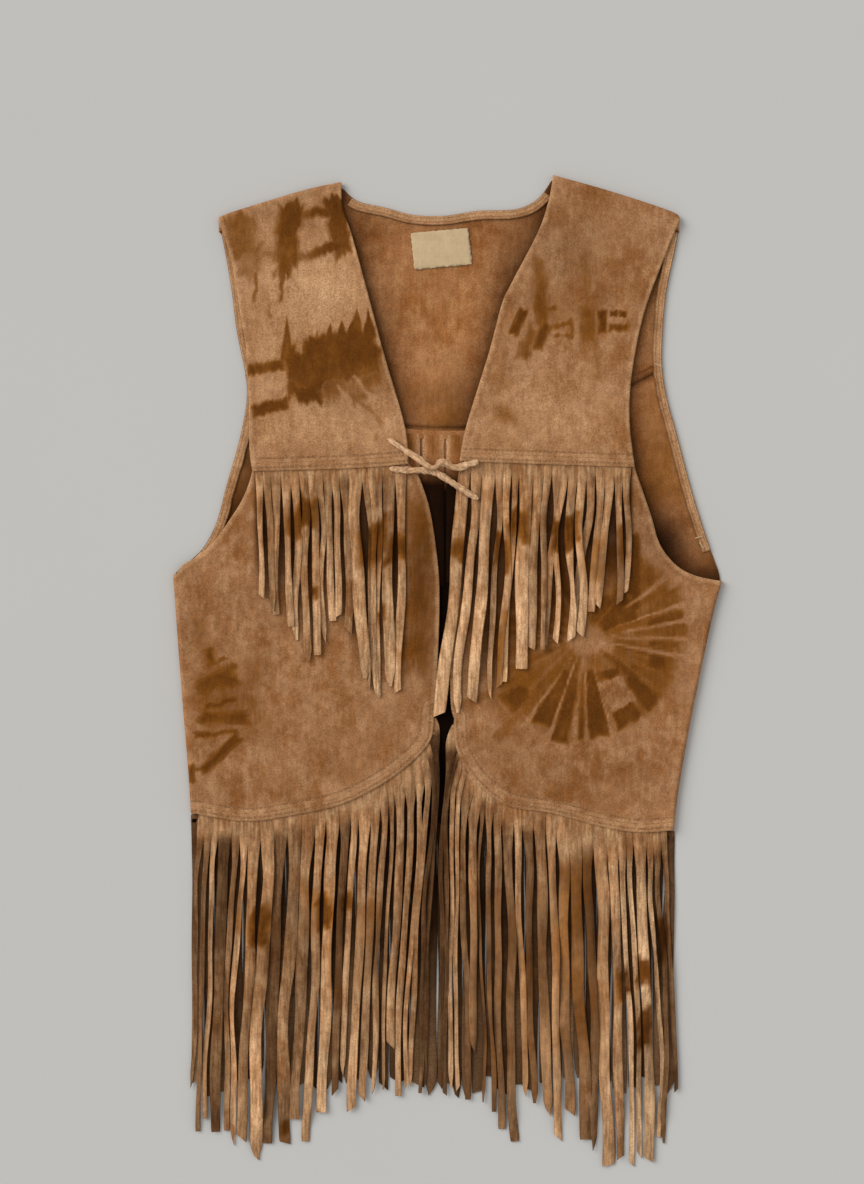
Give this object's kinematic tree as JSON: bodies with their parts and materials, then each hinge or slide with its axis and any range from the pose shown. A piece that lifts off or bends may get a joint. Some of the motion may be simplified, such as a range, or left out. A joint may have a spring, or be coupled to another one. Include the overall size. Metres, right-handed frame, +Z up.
{
  "type": "leather fringe vest",
  "caption": "Open-fronted suede vest laid flat, with front yokes, fringe below the yokes and along the hem, a thin tie at the front and a blank label inside the back neck.",
  "frame": {"origin": "on the surface that the vest lies on, under the middle of the garment's box", "axes": "+Y along the garment towards its shoulders, +X to the viewer's right, +Z up from the surface through the fronts"},
  "size_m": [0.4696, 0.848, 0.0159],
  "materials": {
    "suede_outside": "napped suede, dyed in dark patches, matte",
    "suede_fringe": "napped suede strips, paler at their cut edges",
    "suede_inside": "warm brown suede, the inside face",
    "label_linen": "plain beige woven label, blank"
  },
  "bodies": {
    "root": {"back_yoke": "suede_inside", "back_body": "suede_inside", "front_yoke_left": "suede_outside", "front_yoke_right": "suede_outside", "front_body_left": "suede_outside", "front_body_right": "suede_outside", "yoke_fringe_left": "suede_fringe", "yoke_fringe_right": "suede_fringe", "hem_fringe_left": "suede_fringe", "hem_fringe_right": "suede_fringe", "hem_fringe_back": "suede_inside", "centre_strips": "suede_inside", "neck_hem": "suede_inside", "armhole_hem_left": "suede_inside", "armhole_hem_right": "suede_inside", "label": "label_linen", "tie_left": "suede_fringe", "tie_right": "suede_fringe"}
  },
  "joints": []
}
